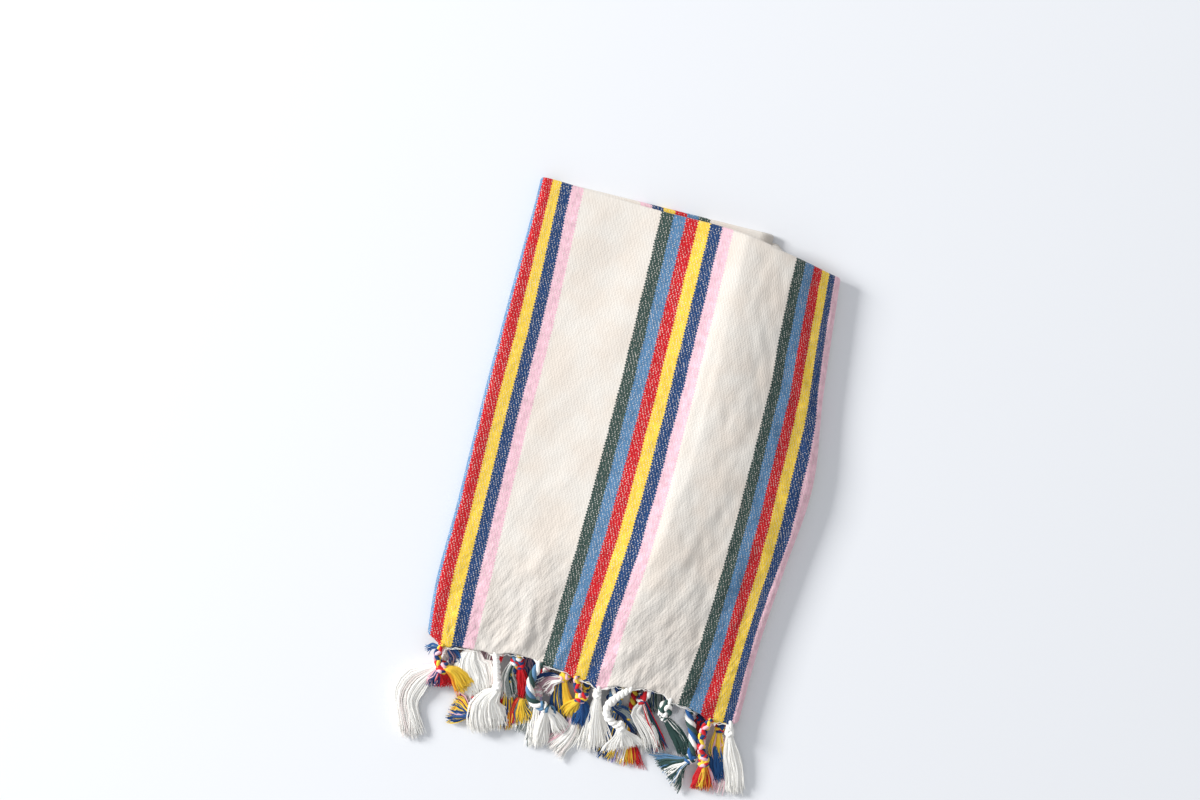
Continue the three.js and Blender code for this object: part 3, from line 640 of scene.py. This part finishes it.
# Per tassel: root as u on the front, or -share and +share of the left and right flap; y of the
# root; the cord's way to the knot and its plies; the height of the knot; and the brush as locks
# of yarn. A lock is its way, its widths along that, its count of yarns in pairs, its colours
# from one side to the other, and its height and its thickness from the knot to the tips.
TASSELS = {
    "top_1": (10, -2.4, [(6.6, -8.3), (8.4, -13.1), (11.7, -16.2)], "red yellow navy pink", 8.4, [
        ([(11, -19), (11.5, -23), (12, -28.5)], [8, 14, 14], 66, "red red red navy pink",
         8, 4, 5),
        ([(15, -15.5), (22, -18), (29, -25.5)], [5, 10, 14], 66,
         "yellow yellow yellow yellow yellow yellow orange", 9.6, 8, 4),
        ([(10, -19), (8, -22.5), (8.5, -26)], [3, 5, 5], 14, "navy pink sea", 6, 4, 3),
        ([(7, -3), (3, -4.4), (-1.5, -7)], [1, 4, 7], 6, "navy sea blue", 8.5, 6, 1.2),
        ([(13, -3), (17, -6), (19.5, -11)], [3, 6, 8], 22, "navy sea navy mauve navy", 7.5, 6.5, 3)]),
    "top_2": (47, 0.4, [(45.2, -6), (47.7, -14.8), (48.6, -19)], "cream cream", 9.4, [
        ([(48.6, -22.5), (45.5, -29), (46.5, -38), (51, -47.5)], [10, 22, 26, 24], 190,
         "cream", 8.6, 3.6, 6)]),
    "top_3": (80.5, 1.2, [(69.2, -8.3), (70.6, -19.8), (75.6, -24.2), (81, -25)],
              "cream green blue", 9.4, [
        ([(83.5, -26.5), (89, -30.5), (95.5, -37.5)], [5, 9, 11], 54, "cream", 8, 5, 4),
        ([(82.5, -28), (82.5, -38), (84, -50.5)], [6, 10, 10], 56,
         "cream", 7.5, 3, 4.5),
        ([(85, -24), (88, -26.5), (87, -31)], [2, 3, 3], 8, "blue green cream", 8, 7.5, 1.5)]),
    "top_4": (107, -1.5, [(97.9, -4.6), (100, -9.6), (102.8, -13.4)], "yellow pink navy red", 9, [
        ([(101.5, -16), (99, -20), (97.5, -26.5)], [5, 11, 13], 56, "yellow", 8, 5, 4.5),
        ([(104.5, -16), (106.5, -22), (106.5, -31)], [5, 11, 11], 64,
         "navy sea sea navy sea", 8.5, 5, 5),
        ([(102.5, -18), (101.5, -26), (100.5, -33)], [3, 6, 7], 24, "lilac pink lilac", 5, 3, 2)]),
    "top_5": (125, -4.7, [(112, -6.2), (112, -9)], "cream cream", 8.6, [
        ([(112.6, -12), (114.3, -24), (118.6, -43.5)], [8, 15, 22], 150, "cream", 8, 3.2, 5.5)]),
    "top_6": (147, 0.1, [(126.5, -5.5), (120.6, -13.5), (121.4, -20.4), (126, -24),
                         (131.6, -25.8)], "cream cream", 9.4, [
        ([(132.8, -28.5), (134.8, -32.5), (137.4, -39)], [8, 19, 25], 100, "cream", 8.8, 6, 4)]),
    "top_7": (176, -2.2, [(154.4, -6.4), (156.6, -10.6), (159.4, -8.6), (157.6, -5.8),
                          (154.8, -8.6), (157, -12.4)], "cream green", 9, [
        ([(159.5, -14.5), (166, -20), (172.5, -26.5), (177, -34)], [6, 9, 10, 7], 76,
         "green green cream green blue green green green", 8, 5.5, 3.5)]),
    "top_8": (204, -8.6, [(184, -15.5), (185, -26.3), (188.6, -35)], "yellow navy red pink", 8.6, [
        ([(189.6, -39), (190.5, -45), (191.5, -53)], [8, 12, 15], 90,
         "pink red orange red yellow red orange red red", 7.6, 3.0, 5)]),
    "top_9": (216.5, -7.3, [(199.4, -10), (200.4, -12.8)], "cream cream", 7.6, [
        ([(201, -15), (203, -21), (206, -29), (210.5, -39), (213.5, -49.5)], [6, 10, 12, 12, 12],
         110, "cream", 7, 2.4, 4.4)]),
    "second_1": (28.5, 1.5, [(29, -6), (33, -22), (39.5, -38.5)], "yellow navy red", 2.6, [
        ([(36.5, -40.5), (30, -40.5), (23.5, -39.5)], [6, 17, 21], 110,
         "navy yellow sea pink red yellow navy yellow sea red navy yellow pink", 3.4, 2.4, 4)]),
    "second_2": (63.75, 3, [(57, -5), (54.5, -14)], "yellow navy", 4.2, [
        ([(55, -18), (57.5, -31), (60, -44.5)], [6, 9, 10], 54,
         "navy yellow orange navy yellow red", 4, 2.4, 3.6)]),
    "second_3": (93.75, 3, [(88.6, 0), (89, -3.5)], "yellow pink", 8.2, [
        ([(86.5, -5.5), (81, -8), (77, -14.5)], [6, 13, 14], 72,
         "mauve cream mauve blush mauve mauve cream navy", 8.4, 6.5, 4),
        ([(86.5, -9), (88, -18), (92.5, -31)], [5, 9, 10], 54, "navy sea yellow navy sea",
         6, 3.4, 3.6),
        ([(90, -7), (94, -16), (99.5, -26.5)], [4, 6, 8], 40, "yellow", 7.6, 4.5, 3)]),
    "second_4": (116, 1, [(104, -3), (104, -8)], "navy yellow", 5, [
        ([(103.5, -11), (102, -22), (102, -34)], [5, 9, 10], 30, "navy yellow mauve", 4, 2.6, 3)]),
    "second_5": (136, 1, [(122.4, -6), (122.6, -11)], "navy blue cream", 5.6, [
        ([(125.5, -14.5), (133, -17), (144, -25.5)], [5, 7, 7], 44, "sea navy grey navy",
         5.4, 4, 3)]),
    "second_6": (161.5, 2, [(143.4, -1), (140.8, -5.6)], "cream navy red", 7.6, [
        ([(140.5, -8.5), (138.5, -15), (143.5, -20), (150.5, -28), (154, -36)],
         [4, 8, 10, 9, 8], 26, "cream", 7.4, 4.6, 4),
        ([(143, -8.5), (149.5, -19), (159.5, -34)], [5, 8, 10], 56,
         "navy red green cream red navy grey", 6.6, 3, 4),
        ([(142, -10), (146, -24), (152, -38)], [3, 6, 8], 30, "navy grey cream grey", 5, 2.6, 3)]),
    "second_7": (190, -1, [(172.4, -8), (177.6, -18.2), (179.8, -27.6), (180, -35.4)],
                 "green cream sea", 7, [
        ([(177, -38.5), (171.5, -43.5), (166.5, -49)], [7, 20, 29], 130,
         "cream green cream green blue green cream green blue green blue blue", 6, 2.6, 4.5)]),
    "second_8": (210.25, -4, [(195.5, -9), (194.3, -12)], "yellow red navy", 5.4, [
        ([(193.6, -15), (195.6, -25), (198.6, -33)], [5, 9, 9], 46,
         "yellow red yellow pink red yellow", 5.2, 3.4, 3.4),
        ([(194.6, -24), (198, -36), (202.4, -44.5)], [5, 9, 11], 60, "sea navy sea", 4, 2.6, 4)]),
    "third_1": (-2 / 12, 9, [(26, 5), (26, 2.6)], "cream cream", 5.0, [
        # Painted shade: this first lock is dark yarn laid in the gap under the hem to stand for the
        # shade there.
        ([(38, 6), (38.5, 0), (39.5, -7)], [14, 17, 13], 50, "red mauve cream mauve mauve",
         5.2, 4.2, 2.6),
        ([(28, -1), (28.5, -8), (33.5, -16), (38.5, -26)], [14, 24, 23, 16], 200,
         "blush cream cream cream cream cream cream", 6.2, 5.6, 5)]),
    "third_2": (-4 / 12, 9, [(55, 4), (56.4, -1)], "red blue cream", 6.4, [
        ([(54.5, -3.5), (54, -12), (58.5, -24)], [5, 10, 11], 56,
         "grey cream green cream grey cream", 6.6, 5, 3.6)]),
    "third_3": (-6 / 12, 9, [(77, -4), (75.5, -17)], "cream pink", 4, [
        # Painted shade: the first two locks are dark yarn laid in the gaps under the hem to stand for
        # the shade there.
        ([(69, 7), (70, 0), (72, -9)], [14, 18, 14], 60, "navy green red navy navy mauve navy",
         3.6, 2.6, 3),
        ([(94, 7), (94, 1), (95, -6)], [9, 12, 9], 40, "navy grey navy red navy", 3.6, 2.6, 2.6),
        ([(76, -21), (77.5, -34), (79.5, -50)], [5, 8, 9], 50, "lilac cream cream green", 4, 2.2, 3),
        ([(74, -21), (69.5, -31), (68.5, -44)], [4, 9, 10], 50, "grey cream green cream", 4, 2.2, 3)
    ]),
    "third_4": (-8 / 12, 9, [(102, -4), (102.5, -19)], "pink cream", 3.6, [
        ([(102, -24), (101, -37), (93.5, -51)], [6, 13, 15], 96, "cream blush cream cream pink",
         3.4, 2.2, 4)]),
    "third_5": (-10 / 12, 9, [(126.5, -3), (127, -16)], "blue yellow", 3.4, [
        ([(127, -20), (126, -34), (124.5, -47)], [4, 9, 11], 50, "navy yellow sea navy",
         3.2, 2.0, 3)]),
    "third_6": (2 / 4, 7, [(180, 0), (181, -11)], "red navy", 3.4, [
        # Painted shade: this first lock is dark grey yarn laid in the gap under the hem to stand for
        # the shade there.
        ([(150, 4), (151, -3), (153, -12)], [14, 18, 15], 50, "grey navy grey green grey navy",
         3, 2.2, 2.6),
        ([(181.5, -14), (182.5, -24), (184.5, -33)], [3, 5, 6], 30, "red", 3.4, 2.2, 2.4)]),
    "floor_1": (-1 / 12, 5, [(12.5, -8), (8.6, -15.5)], "blush cream", 4.6, [
        ([(4.5, -20), (-2.5, -27), (-6.4, -36), (-6.2, -44), (-2.5, -53), (1.6, -62)],
         [9, 17, 16, 13, 13, 15], 140, "cream cream cream blush cream blush cream", 4.4, 2.4, 4.5)
    ]),
    "floor_2": (-3 / 12, 6, [(37, -4), (37, -16)], "cream cream", 2.8, [
        ([(37, -20), (37.5, -30), (39, -41)], [5, 9, 12], 30, "cream", 2.6, 1.6, 2.4)]),
    "floor_3": (-5 / 12, 6, [(60, 1), (60, -3)], "red navy", 6.2, [
        ([(60.5, -5), (63.5, -13), (65.2, -22)], [6, 8, 5], 40, "red", 6.4, 5, 4),
        ([(65.5, -23.5), (66.5, -30), (70, -39)], [5, 14, 19], 90,
         "navy yellow yellow navy yellow yellow yellow sea yellow yellow red navy", 5, 2.6, 4.4)]),
    "floor_4": (-8 / 12, 6, [(100, -4), (102, -17)], "cream cream", 2.6, [
        ([(102, -21), (102, -32), (101, -43)], [5, 9, 12], 30, "cream", 2.4, 1.6, 2.4)]),
    "floor_5": (-11 / 12, 6, [(136, -4), (136, -19)], "red yellow", 3, [
        ([(136, -23), (136.5, -35), (137.5, -49)], [6, 18, 27], 130,
         "red red orange yellow red yellow cream lilac yellow sea navy", 2.8, 1.8, 3.4)]),
    "floor_6": (1 / 4, 1, [(191, -8), (198, -21)], "cream pink", 2.6, [
        ([(199.5, -25), (203, -37), (206, -52)], [5, 11, 14], 60, "blush cream blush pink",
         2.4, 1.6, 2.6)]),
}
# The cord of second_1 comes down late, and that of top_7 climbs over itself in a loop.
CORD_DESCENT = {"second_1": 0.2}
CORD_LIFT = {"top_7": (0, 0, 1.8, 3.0, 2.2, 0)}

chance = random.Random(6)


def lengths_along(path):
    """How far along a path each of its points lies."""
    return np.concatenate([[0], np.cumsum(np.linalg.norm(np.diff(path, axis=0), axis=1))])


def through(way, count):
    """Evenly spaced points of a smooth curve through the way's points."""
    way = np.array(way, float)
    steps = lengths_along(way)
    ends = np.vstack([2 * way[0] - way[1], way, 2 * way[-1] - way[-2]])
    share = np.linspace(0, steps[-1], count)
    i = np.clip(np.searchsorted(steps, share, side="right") - 1, 0, len(way) - 2)
    t = ((share - steps[i]) / (steps[i + 1] - steps[i]))[:, None]
    a, b, c, d = ends[i], ends[i + 1], ends[i + 2], ends[i + 3]
    return 0.5 * (2 * b + (c - a) * t + (2 * a - 5 * b + 4 * c - d) * t ** 2
                  + (3 * b - a - 3 * c + d) * t ** 3)


def side_frames(path):
    """Directions sideways and upwards at each point of a path."""
    along = np.gradient(path, axis=0)
    along /= np.maximum(np.linalg.norm(along, axis=1, keepdims=True), 1e-9)
    side = np.cross(along, (0.04, 0.03, 1.0))
    side /= np.maximum(np.linalg.norm(side, axis=1, keepdims=True), 1e-9)
    return side, np.cross(side, along)


class Strands:
    """Tubes of yarn that are gathered into one mesh, with a colour and a twist for each."""

    def __init__(self):
        self.points, self.faces, self.uvs = [], [], []
        self.slots, self.rounded = [], []
        self.total = 0

    def add(self, path, radius, sides, colour, yarns):
        """One tube with closed ends along a path; its twist shows so many yarns around it."""
        count = len(path)
        side, up = side_frames(path)
        angle = (np.arange(sides) + 0.5) * 2 * math.pi / sides
        radius = np.broadcast_to(radius, count)[:, None, None]
        ring = np.cos(angle)[None, :, None] * side[:, None]
        ring = ring + np.sin(angle)[None, :, None] * up[:, None]
        self.points.append((path[:, None] + radius * ring).reshape(-1, 3))
        long = lengths_along(path) * (PLY_YARNS / yarns)
        for i in range(count - 1):
            for j in range(sides):
                a = self.total + i * sides + j
                b = self.total + i * sides + (j + 1) % sides
                self.faces.append((a, a + sides, b + sides, b))
                near, far = j / sides * yarns, (j + 1) / sides * yarns
                self.uvs += [(long[i], near), (long[i + 1], near), (long[i + 1], far), (long[i], far)]
                self.slots.append(colour)
        last = self.total + (count - 1) * sides
        self.faces.append(tuple(range(self.total, self.total + sides)))
        self.faces.append(tuple(range(last + sides - 1, last - 1, -1)))
        self.uvs += [(0, 0)] * (2 * sides)
        self.slots += [colour, colour]
        self.rounded += [sides > 4] * ((count - 1) * sides + 2)
        self.total += count * sides

    def mesh(self, name, materials):
        """One mesh of all the tubes, none of them below the table."""
        mesh = bpy.data.meshes.new(name)
        where = np.concatenate(self.points)
        where[:, 2] = np.maximum(where[:, 2], 0.02)
        where = (where + (*TOWEL_ZERO, 0)) * MM
        mesh.from_pydata(where.tolist(), [], self.faces)
        layer = mesh.uv_layers.new(name="yarn")
        layer.data.foreach_set("uv", np.array(self.uvs, np.float32).ravel())
        used = sorted(set(self.slots))
        for colour in used:
            mesh.materials.append(materials[colour])
        mesh.polygons.foreach_set("material_index", [used.index(s) for s in self.slots])
        mesh.polygons.foreach_set("use_smooth", self.rounded)
        mesh.update()
        return mesh


def add_cord(strands, way, plies):
    """Plies twisted around the way, from the hem into the knot. Four plies are braided."""
    length = sum(math.dist(a[:2], b[:2]) for a, b in zip(way, way[1:]))
    path = through(way, max(12, int(length * 1.7)))
    side, up = side_frames(path)
    long = lengths_along(path)
    thick, reach, pitch, _ = CORD_MAKE[len(plies)]
    narrow = 0.75 + 0.25 * rise(long, 0, 6)
    for k, colour in enumerate(plies):
        spin = -1 if len(plies) == 4 and k % 2 else 1
        turn = (2 * math.pi * (spin * long / pitch + k / len(plies)))[:, None]
        centre = path + (reach * narrow)[:, None] * (np.cos(turn) * side + np.sin(turn) * up)
        centre[:, 2] = np.maximum(centre[:, 2], thick + 0.05)
        strands.add(centre, thick * narrow, 8, colour, PLY_YARNS)


def add_knot(strands, at, heading, plies):
    """A tight overhand knot: the plies wound over and under each other in a round lump."""
    heading = np.array([heading[0], heading[1], -0.15])
    heading /= np.linalg.norm(heading)
    side = np.cross(heading, (0, 0, 1.0))
    side /= np.linalg.norm(side)
    up = np.cross(side, heading)
    share = np.linspace(0, 1, 30)
    size = CORD_MAKE[len(plies)][3]
    colours = plies if len(plies) > 2 else [*plies, *plies]
    for k, colour in enumerate(colours):
        spin = 1 if k % 2 else -1
        turn = 2 * math.pi * (spin * 1.55 * share + k / len(colours))
        axial = -2.5 * np.cos(math.pi * share) + 0.9 * np.sin(turn + k)
        reach = 2.05 * np.sqrt(np.maximum(1 - (axial / 4.2) ** 2, 0.05)) + 0.4 * np.cos(2 * turn + k)
        wound = np.cos(turn)[:, None] * side + 0.85 * np.sin(turn)[:, None] * up
        centre = np.array(at) + size * (axial[:, None] * heading + reach[:, None] * wound)
        centre[:, 2] = np.maximum(centre[:, 2], 1.3)
        strands.add(centre, 1.25 * size, 8, colour, PLY_YARNS)


def add_lock(strands, way, widths, pairs, colours, depth):
    """Loose yarns in small clumps that spread along the way and end raggedly."""
    steps = 11
    count = 2 * pairs
    path = through(way, steps)
    side, up = side_frames(path)
    share = np.linspace(0, 1, steps)
    width = np.interp(share, np.linspace(0, 1, len(widths)), widths)
    high = np.interp(share, [0, 0.3, 1], [min(depth, widths[0]), depth, 0.7 * depth])
    clumps = max(3, count // YARNS_IN_CLUMP)
    # Each clump has its own waves, its own length and a leaning to one side's colours.
    habits = [(chance.uniform(2, 6), chance.uniform(0, 6), chance.uniform(0.2, 1.0),
               chance.uniform(-0.9, 0.5), chance.uniform(-0.6, 0.6)) for _ in range(clumps)]
    for k in range(count):
        clump = k % clumps
        bends, start, sway, longer, leaning = habits[clump]
        out, angle = math.sqrt((clump + 0.5) / clumps), clump * GOLDEN_ANGLE
        near, spin = 1.25 / math.sqrt(clumps) * math.sqrt(chance.random()), chance.uniform(0, 6.3)
        aside = out * math.cos(angle) + near * math.cos(spin)
        above = out * math.sin(angle) + near * math.sin(spin)
        wave = sway * np.sin(bends * share + start) + 0.7 * np.sin(
            share * chance.uniform(4, 10) + chance.uniform(0, 6))
        centre = path + (aside * width / 2 + wave * share)[:, None] * side
        centre += (above * high / 2)[:, None] * up
        centre[:, 2] += chance.uniform(-0.3, 0.3) * share
        end = centre[-1] - centre[-2]
        centre[-1] += end * max(longer + chance.uniform(-0.7, 0.7), -0.8)
        if chance.random() < STRAY_SHARE:
            centre[-3:] += np.outer([0.2, 0.7, 1.6], chance.uniform(-1.8, 1.8) * side[-1])
        centre[:, 2] = np.maximum(centre[:, 2], YARN_RADIUS + 0.05)
        place_in = (out * math.cos(angle) * 0.5 + 0.5) * len(colours) + leaning
        place_in += chance.uniform(-0.8, 0.8)
        colour = colours[int(min(max(place_in, 0), len(colours) - 1))]
        radius = YARN_RADIUS * chance.uniform(0.85, 1.15) * np.interp(
            share, [0, 0.75, 1], [1, 1, 0.4])
        strands.add(centre, radius, 4, colour, 2)


def stripe_name(u):
    """The colour of the warp at u."""
    number = int((u - STRIPE_START) % STRIPE_REPEAT // STRIPE_WIDTH)
    return list(STRIPES)[number] if number < len(STRIPES) else "cream"


def leaf_point(part, at, leaf_offset, y):
    """x and z of one point of a leaf. Beyond the zero of y the leaf stays as it is there."""
    x, z, _ = across(part, at, np.full(1, leaf_offset), np.full(1, max(y, 0.0)))
    return float(np.ravel(x)[0]), float(np.ravel(z)[0])


def add_root_threads(strands, at, root, next_point, roots, leaf_offset):
    """Warp ends that leave the hem on both sides of the root and draw together at the cord."""
    for k in range(-5, 6):
        edge_u = at + THREAD_PITCH * k
        if k == 0 or not LEFT_TURN_U < edge_u < RIGHT_TURN_U:
            continue
        edge_y = hem_at(roots, edge_u)
        edge_x, edge_z = leaf_point("front", edge_u, leaf_offset, edge_y)
        bend = ((edge_x + root[0]) / 2, (edge_y + root[1]) / 2 - 0.6, (edge_z + root[2]) / 2)
        inside = (root[0], root[1] + 1.5, root[2])
        target = np.array(next_point) * 0.45 + np.array(inside) * 0.55
        thread_way = through([(edge_x, edge_y + 0.6, edge_z), bend, tuple(target)], 5)
        strands.add(thread_way, THREAD_RADIUS, 4, stripe_name(edge_u), 2)


def add_hem_threads(strands, at, roots, leaf_offset):
    """Three fine loose threads that lie along the hem to the right of the root."""
    for _ in range(3):
        along_u = np.clip(at + np.linspace(1, chance.uniform(8, 24), 9), 4, RIGHT_TURN_U - 1)
        below = chance.uniform(0.2, 1.3)
        loose = []
        for u in along_u:
            y = hem_at(roots, u) - below
            x, z = leaf_point("front", u, leaf_offset, y)
            loose.append((x, y + chance.uniform(-0.7, 0.7), z + 0.3))
        strands.add(through(loose, 17), HEM_THREAD_RADIUS, 4, "cream", 1)


twist, yarn_in, result = new_group("yarn_twist", "Yarn", {"Height": "Float", "Shade": "Float"})
axes = axes_of(twist, yarn_in)
lay = times_plus(twist, axes["X"], 0.28, axes["Y"])
lay = math_node(twist, "SINE", times(twist, lay, 2 * math.pi))
fuzz = noise(twist, yarn_in, 1.7, 3.0)
twist.links.new(times_plus(twist, fuzz, 1.2, lay), result["Height"])
twist.links.new(times_plus(twist, lay, 0.06, fuzz), result["Shade"])

# Undyed and pale yarn has a bright fuzz, and strong dyes have little.
yarn_materials = {}
for name, colour in YARN_COLOURS.items():
    yarn_materials[name], tree, surface, yarn_uv = cotton_material("cotton_yarn_" + name, "yarn", {
        "Roughness": 0.88, "Specular IOR Level": 0.2, "Sheen Roughness": 0.45,
        "Sheen Weight": 1.0 if sum(colour) > 2 else 0.25})
    twisted = use_group(tree, twist, Yarn=yarn_uv)
    # Painted shade and highlight: each yarn is mixed between a shaded and a lit copy of its colour by
    # the lay of its twist, and by random fuzz that also gives it a random tone.
    shaded_yarn_tone = tuple(0.96 * c for c in colour)
    light = tuple(min(1.0, 1.12 * c + 0.01) for c in colour)
    shade = blend_colours(tree, ramp(tree, twisted["Shade"], 0.25, 0.75), shaded_yarn_tone, light)
    tree.links.new(shade, surface.inputs["Base Color"])
    tree.links.new(bump(tree, twisted["Height"], 0.2, 0.1 * MM), surface.inputs["Normal"])

for name, (at, root_y, way, plies, knot_z, locks) in TASSELS.items():
    row = name.split("_")[0]
    roots = OUTER_ROOTS if row == "top" else INNER_ROOTS
    leaf_offset = half if row in ("top", "floor") else -half
    part = "front" if row in ("top", "second") else "left_flap" if at < 0 else "right_flap"
    root_x, root_z = leaf_point(part, abs(at), leaf_offset, root_y)
    plies = plies.split()
    strands = Strands()
    knot = (*way[-1], knot_z)
    run = lengths_along([(root_x, root_y), *way])
    descent = CORD_DESCENT.get(name, 0.7)
    lift = CORD_LIFT.get(name, (0,) * len(way))
    cord = [(root_x, root_y + 1.5, root_z)]
    for point, r, extra in zip(way, run[1:], lift):
        cord.append((*point, root_z + (knot_z - root_z) * (r / run[-1]) ** descent + extra))
    add_cord(strands, cord, plies)
    first = locks[0][0][0]
    add_knot(strands, knot, (first[0] - knot[0], first[1] - knot[1]), plies)
    for lock_way, widths, pairs, colours, z_near, z_far, depth in locks:
        far = len(lock_way) - 1
        high = [z_near + (z_far - z_near) * (k / far) ** 0.8 for k in range(far + 1)]
        points_way = [(*p, z) for p, z in zip(lock_way, high)]
        if math.dist(lock_way[0], knot[:2]) < NEAR_KNOT:
            points_way = [knot, *points_way]
            widths = [KNOT_NECK, *widths]
        add_lock(strands, points_way, widths, pairs, colours.split(), depth)
    if part == "front":
        add_root_threads(strands, at, (root_x, root_y, root_z), cord[1], roots, leaf_offset)
    if row == "top":
        add_hem_threads(strands, at, roots, leaf_offset)
    mesh = strands.mesh("tassel_yarn_" + name, yarn_materials)
    tassel = new_object("tassel_yarn_" + name, mesh)
    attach(tassel, "root")
    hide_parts("tassel_" + name)

# The studio: a white table top, a large soft light from the upper left, and a camera straight
# above, turned so that the towel leans to the right as it does in the photo.
bm = bmesh.new()
bmesh.ops.create_grid(bm, x_segments=1, y_segments=1, size=3)
floor_mesh = bpy.data.meshes.new("table_top")
bm.to_mesh(floor_mesh)
bm.free()
table = new_object("table_top", floor_mesh)
table_paint = bpy.data.materials.new("white_table")
table_paint.use_nodes = True
paint = table_paint.node_tree.nodes["Principled BSDF"]
paint.inputs["Base Color"].default_value = (0.86, 0.87, 0.895, 1)
paint.inputs["Roughness"].default_value = 0.6
floor_mesh.materials.append(table_paint)

# The picture's lean on the table, what its middle shows, and the camera's height in metres.
LEAN = math.atan2(0.235, 0.972)
VIEW_CENTRE = (69.6 + TOWEL_ZERO[0], 174.9 + TOWEL_ZERO[1])
CAMERA_HEIGHT = 1.078


def add_light(name, place, target, size, power):
    """A square lamp at a place, turned to a target."""
    lamp = bpy.data.lights.new(name, "AREA")
    lamp.shape = "SQUARE"
    lamp.size = size
    lamp.energy = power
    light = new_object(name, lamp)
    light.location = place
    aim = Vector(target) - Vector(place)
    light.rotation_euler = aim.to_track_quat("-Z", "Y").to_euler()


def from_image(right, up, height):
    """A point given by distances to the right and up in the picture, in metres."""
    x = right * math.cos(LEAN) - up * math.sin(LEAN)
    y = right * math.sin(LEAN) + up * math.cos(LEAN)
    return (x, y, height)


window_place = from_image(-3.85, 1.60, 1.72)
add_light("window_light", window_place, target=(0, 0, 0), size=1.3, power=273)

world = bpy.data.worlds.new("studio")
world.use_nodes = True
world.node_tree.nodes["Background"].inputs["Color"].default_value = (0.93, 0.96, 1.0, 1)
world.node_tree.nodes["Background"].inputs["Strength"].default_value = 0.59
bpy.context.scene.world = world
bpy.context.scene.view_settings.view_transform = "Standard"

lens = bpy.data.cameras.new("camera")
lens.lens = 50
lens.sensor_width = 36
camera = new_object("camera", lens)
camera.matrix_world = Matrix.Translation(
    (VIEW_CENTRE[0] * MM, VIEW_CENTRE[1] * MM, CAMERA_HEIGHT)) @ Matrix.Rotation(LEAN, 4, "Z")
bpy.context.scene.camera = camera
